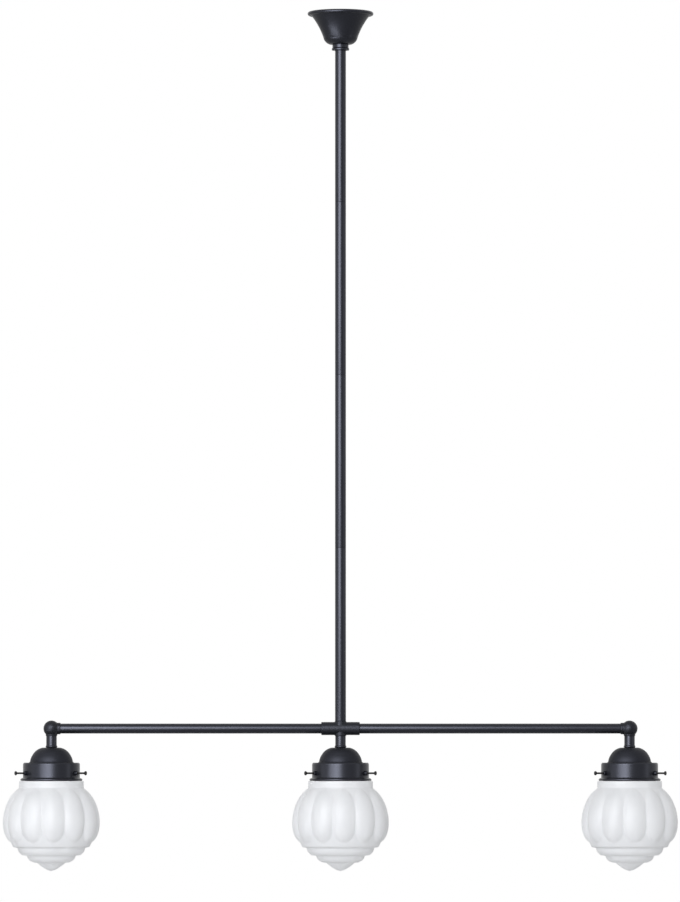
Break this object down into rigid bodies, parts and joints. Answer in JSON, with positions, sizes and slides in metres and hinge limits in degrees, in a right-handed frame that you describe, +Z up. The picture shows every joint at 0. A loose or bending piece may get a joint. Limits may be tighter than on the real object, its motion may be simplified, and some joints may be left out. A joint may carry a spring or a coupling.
{
  "type": "linear island pendant",
  "caption": "Black steel ceiling pendant: canopy, long tube stem and crossbar with ribbed opal glass shades on screwed fitters.",
  "frame": {"origin": "on the ceiling plane, on the axis of the stem", "axes": "+Z up into the ceiling, +X along the crossbar to the right, -Y towards the front"},
  "size_m": [1.0502, 0.1502, 1.3419],
  "materials": {
    "black_steel": "satin black powder coat over steel",
    "black_casting": "black powder coat over a rough casting",
    "zinc_steel": "zinc plated steel",
    "brass": "plain brass",
    "terminal_plastic": "moulded polyamide",
    "opal_glass": "pressed opal glass, fire polished",
    "bulb_glass": "frosted bulb glass",
    "bulb_cap_metal": "rolled aluminium thread",
    "holder_ceramic": "glazed electrical porcelain",
    "lead_sheath": "extruded lead sheath"
  },
  "bodies": {
    "fixture": {"ceiling_bracket": "zinc_steel", "terminal_block": "terminal_plastic", "earth_screw": "brass", "stem_joiners": "zinc_steel", "cross_coupler": "black_casting", "bar_left": "black_steel", "bar_right": "black_steel", "ball_elbow_left": "black_casting", "ball_elbow_right": "black_casting", "lamp_nipples": "zinc_steel", "lock_nuts": "zinc_steel", "stem_section_1": "black_steel", "stem_section_2": "black_steel", "stem_section_3": "black_steel", "stem_section_4": "black_steel", "wiring_left": "lead_sheath", "neck_left": "black_steel", "dome_cap_left": "black_steel", "gallery_left": "black_steel", "lampholder_left": "holder_ceramic", "lamp_contacts_left": "brass", "wiring_centre": "lead_sheath", "neck_centre": "black_steel", "dome_cap_centre": "black_steel", "gallery_centre": "black_steel", "lampholder_centre": "holder_ceramic", "lamp_contacts_centre": "brass", "wiring_right": "lead_sheath", "neck_right": "black_steel", "dome_cap_right": "black_steel", "gallery_right": "black_steel", "lampholder_right": "holder_ceramic", "lamp_contacts_right": "brass"},
    "canopy": {"canopy": "black_steel", "canopy_collar": "black_steel", "collar_grub_screw": "black_steel"},
    "shade_left": {"glass_shade_left": "opal_glass"},
    "bulb_left": {"bulb_left": "bulb_glass", "bulb_cap_left": "bulb_cap_metal"},
    "screw_left_1": {"thumb_screw_left_1": "black_steel"},
    "screw_left_2": {"thumb_screw_left_2": "black_steel"},
    "screw_left_3": {"thumb_screw_left_3": "black_steel"},
    "shade_centre": {"glass_shade_centre": "opal_glass"},
    "bulb_centre": {"bulb_centre": "bulb_glass", "bulb_cap_centre": "bulb_cap_metal"},
    "screw_centre_1": {"thumb_screw_centre_1": "black_steel"},
    "screw_centre_2": {"thumb_screw_centre_2": "black_steel"},
    "screw_centre_3": {"thumb_screw_centre_3": "black_steel"},
    "shade_right": {"glass_shade_right": "opal_glass"},
    "bulb_right": {"bulb_right": "bulb_glass", "bulb_cap_right": "bulb_cap_metal"},
    "screw_right_1": {"thumb_screw_right_1": "black_steel"},
    "screw_right_2": {"thumb_screw_right_2": "black_steel"},
    "screw_right_3": {"thumb_screw_right_3": "black_steel"}
  },
  "joints": [
    {"name": "canopy_slide", "type": "slide", "parent": "fixture", "child": "canopy", "axis": [0, 0, -1], "range_m": [0, 1.047]},
    {"name": "shade_left_lower", "type": "slide", "parent": "fixture", "child": "shade_left", "axis": [0, 0, -1], "range_m": [0, 0.12]},
    {"name": "bulb_left_withdraw", "type": "slide", "parent": "fixture", "child": "bulb_left", "axis": [0, 0, -1], "range_m": [0, 0.027]},
    {"name": "screw_left_1_travel", "type": "slide", "parent": "fixture", "child": "screw_left_1", "axis": [0, 1, 0], "range_m": [0, 0.006]},
    {"name": "screw_left_2_travel", "type": "slide", "parent": "fixture", "child": "screw_left_2", "axis": [-0.866, -0.5, 0], "range_m": [0, 0.006]},
    {"name": "screw_left_3_travel", "type": "slide", "parent": "fixture", "child": "screw_left_3", "axis": [0.866, -0.5, 0], "range_m": [0, 0.006]},
    {"name": "shade_centre_lower", "type": "slide", "parent": "fixture", "child": "shade_centre", "axis": [0, 0, -1], "range_m": [0, 0.12]},
    {"name": "bulb_centre_withdraw", "type": "slide", "parent": "fixture", "child": "bulb_centre", "axis": [0, 0, -1], "range_m": [0, 0.027]},
    {"name": "screw_centre_1_travel", "type": "slide", "parent": "fixture", "child": "screw_centre_1", "axis": [0, 1, 0], "range_m": [0, 0.006]},
    {"name": "screw_centre_2_travel", "type": "slide", "parent": "fixture", "child": "screw_centre_2", "axis": [-0.866, -0.5, 0], "range_m": [0, 0.006]},
    {"name": "screw_centre_3_travel", "type": "slide", "parent": "fixture", "child": "screw_centre_3", "axis": [0.866, -0.5, 0], "range_m": [0, 0.006]},
    {"name": "shade_right_lower", "type": "slide", "parent": "fixture", "child": "shade_right", "axis": [0, 0, -1], "range_m": [0, 0.12]},
    {"name": "bulb_right_withdraw", "type": "slide", "parent": "fixture", "child": "bulb_right", "axis": [0, 0, -1], "range_m": [0, 0.027]},
    {"name": "screw_right_1_travel", "type": "slide", "parent": "fixture", "child": "screw_right_1", "axis": [0, 1, 0], "range_m": [0, 0.006]},
    {"name": "screw_right_2_travel", "type": "slide", "parent": "fixture", "child": "screw_right_2", "axis": [-0.866, -0.5, 0], "range_m": [0, 0.006]},
    {"name": "screw_right_3_travel", "type": "slide", "parent": "fixture", "child": "screw_right_3", "axis": [0.866, -0.5, 0], "range_m": [0, 0.006]}
  ]
}
